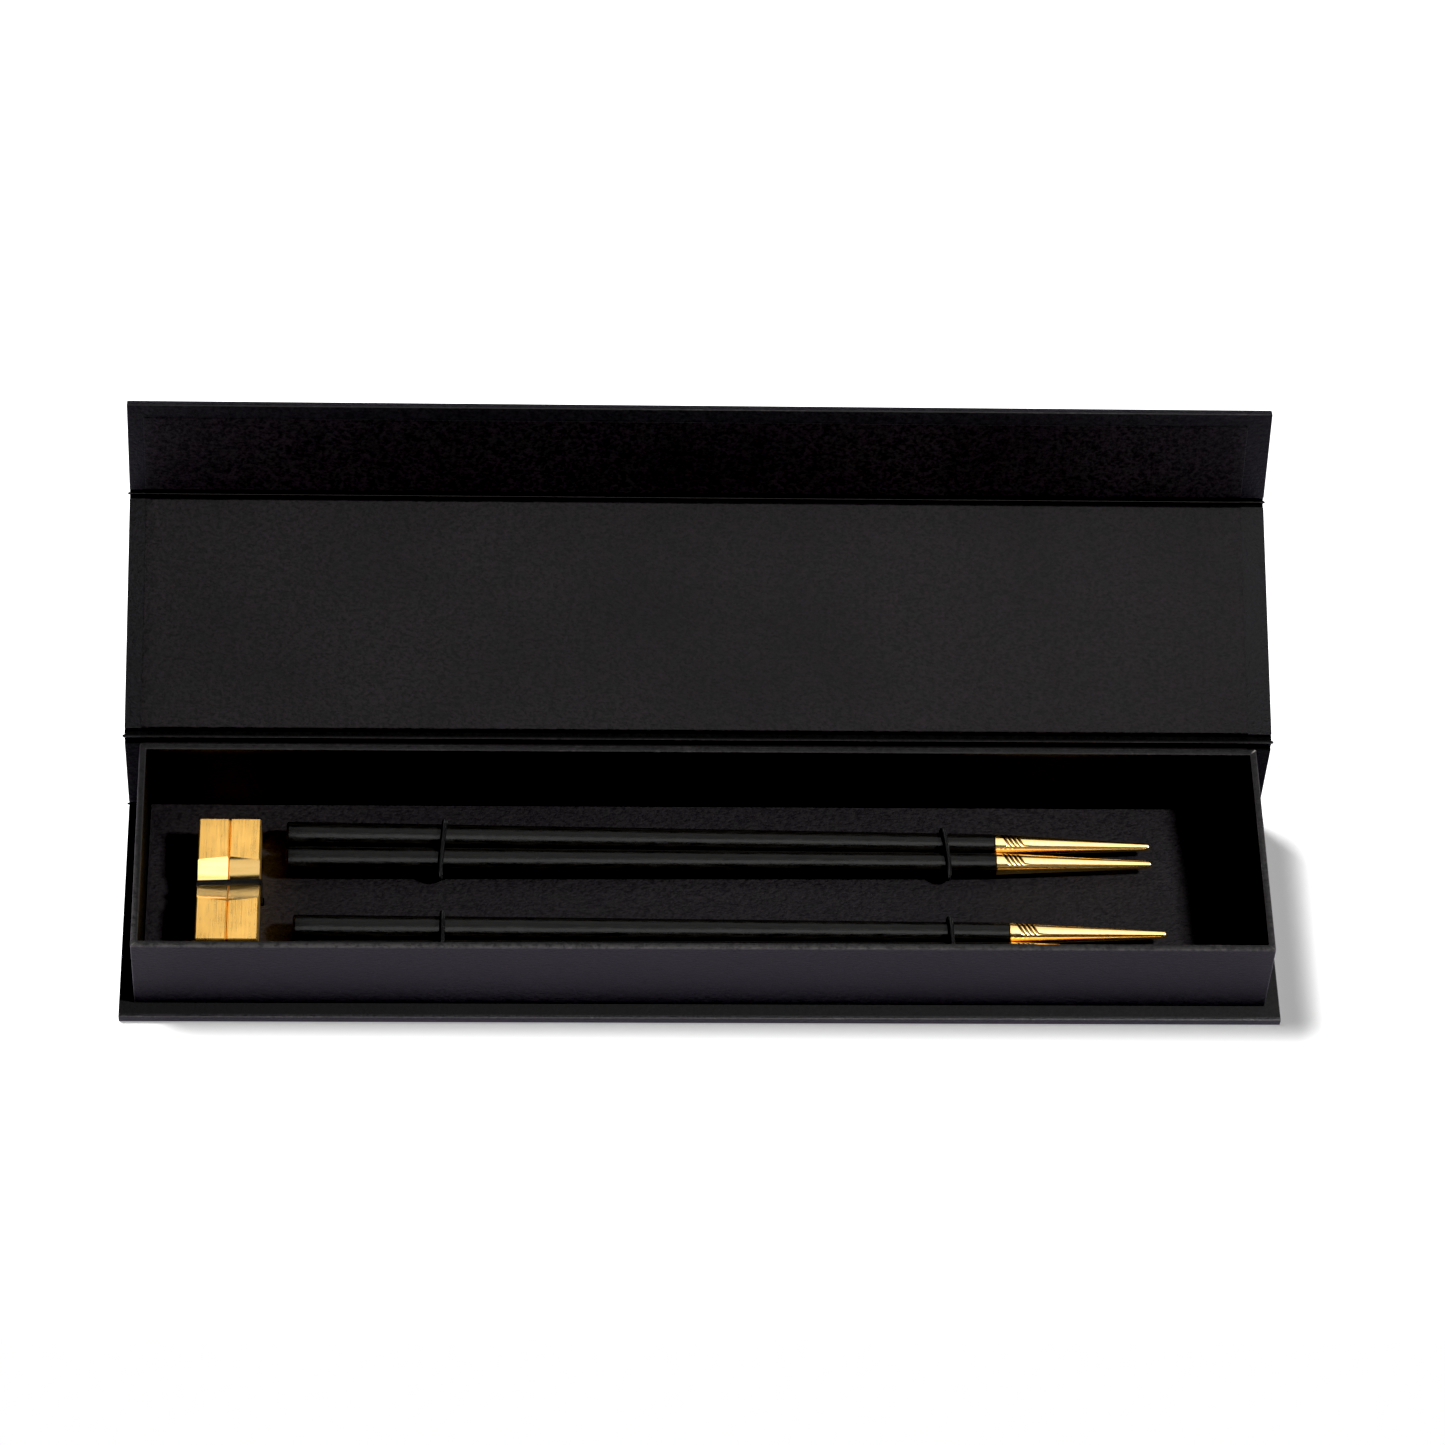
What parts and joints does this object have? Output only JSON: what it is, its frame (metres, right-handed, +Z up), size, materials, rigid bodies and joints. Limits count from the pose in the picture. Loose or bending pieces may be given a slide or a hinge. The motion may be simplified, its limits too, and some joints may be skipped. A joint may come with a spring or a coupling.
{
  "type": "chopstick gift box",
  "caption": "Book-style rigid case with a hinged lid and magnet flap, holding chopstick pairs and chopstick rests under elastic loops.",
  "frame": {"origin": "centre of the base panel's underside", "axes": "+X along the box, towards the chopsticks' tips; +Y from the box's front to its spine; +Z up"},
  "size_m": [0.3052, 0.1415, 0.0838],
  "materials": {
    "greyboard": "matte",
    "cover_paper": "matte",
    "liner_paper": "matte",
    "insert_card": "matte",
    "kraft_tape": "matte",
    "magnet": "satin",
    "keeper_steel": "satin",
    "elastic": "satin",
    "black_handle": "satin",
    "gold_tip": "polished",
    "rest_brass": "satin"
  },
  "bodies": {
    "case": {"base_board": "greyboard", "base_wrap": "cover_paper", "base_spine_hinge": "cover_paper", "spine_board": "greyboard", "spine_wrap": "cover_paper", "spine_liner": "liner_paper", "spine_lid_hinge": "cover_paper", "tray_board": "greyboard", "tray_corner_stays": "kraft_tape", "tray_wrap": "cover_paper", "magnet_keepers": "keeper_steel", "insert_card": "insert_card", "loop_back_left": "elastic", "loop_back_right": "elastic", "loop_front_left": "elastic", "loop_front_right": "elastic", "rest_band": "elastic"},
    "lid": {"lid_board": "greyboard", "lid_wrap": "cover_paper", "lid_liner": "liner_paper", "lid_flap_hinge": "cover_paper"},
    "flap": {"flap_board": "greyboard", "flap_wrap": "cover_paper", "flap_liner": "liner_paper", "flap_magnets": "magnet"},
    "chopstick_back_1": {"chopstick_back_1_handle": "black_handle", "chopstick_back_1_tip": "gold_tip"},
    "chopstick_back_2": {"chopstick_back_2_handle": "black_handle", "chopstick_back_2_tip": "gold_tip"},
    "chopstick_front_1": {"chopstick_front_1_handle": "black_handle", "chopstick_front_1_tip": "gold_tip"},
    "chopstick_front_2": {"chopstick_front_2_handle": "black_handle", "chopstick_front_2_tip": "gold_tip"},
    "rest_left_body": {"rest_left": "rest_brass"},
    "rest_right_body": {"rest_right": "rest_brass"}
  },
  "joints": [
    {"name": "lid_hinge", "type": "hinge", "parent": "case", "child": "lid", "pos_m": [0, 0.0356, 0.0311], "axis": [-1, 0, 0], "range_deg": [-158, 39.5], "deforming": ["spine_lid_hinge"]},
    {"name": "flap_hinge", "type": "hinge", "parent": "lid", "child": "flap", "pos_m": [0, 0.09781, 0.05624], "axis": [-1, 0, 0], "range_deg": [-39, 51], "deforming": ["lid_flap_hinge"]},
    {"name": "chopstick_back_1_lift", "type": "slide", "parent": "case", "child": "chopstick_back_1", "axis": [0, 0, 1], "range_m": [0, 0.04], "deforming": ["loop_back_left", "loop_back_right"]},
    {"name": "chopstick_back_2_lift", "type": "slide", "parent": "case", "child": "chopstick_back_2", "axis": [0, 0, 1], "range_m": [0, 0.04], "deforming": ["loop_back_left", "loop_back_right"]},
    {"name": "chopstick_front_1_lift", "type": "slide", "parent": "case", "child": "chopstick_front_1", "axis": [0, 0, 1], "range_m": [0, 0.04], "deforming": ["loop_front_left", "loop_front_right"]},
    {"name": "chopstick_front_2_lift", "type": "slide", "parent": "case", "child": "chopstick_front_2", "axis": [0, 0, 1], "range_m": [0, 0.04], "deforming": ["loop_front_left", "loop_front_right"]},
    {"name": "rest_left_lift", "type": "slide", "parent": "case", "child": "rest_left_body", "axis": [0, 0, 1], "range_m": [0, 0.04], "deforming": ["rest_band"]},
    {"name": "rest_right_lift", "type": "slide", "parent": "case", "child": "rest_right_body", "axis": [0, 0, 1], "range_m": [0, 0.04], "deforming": ["rest_band"]}
  ]
}
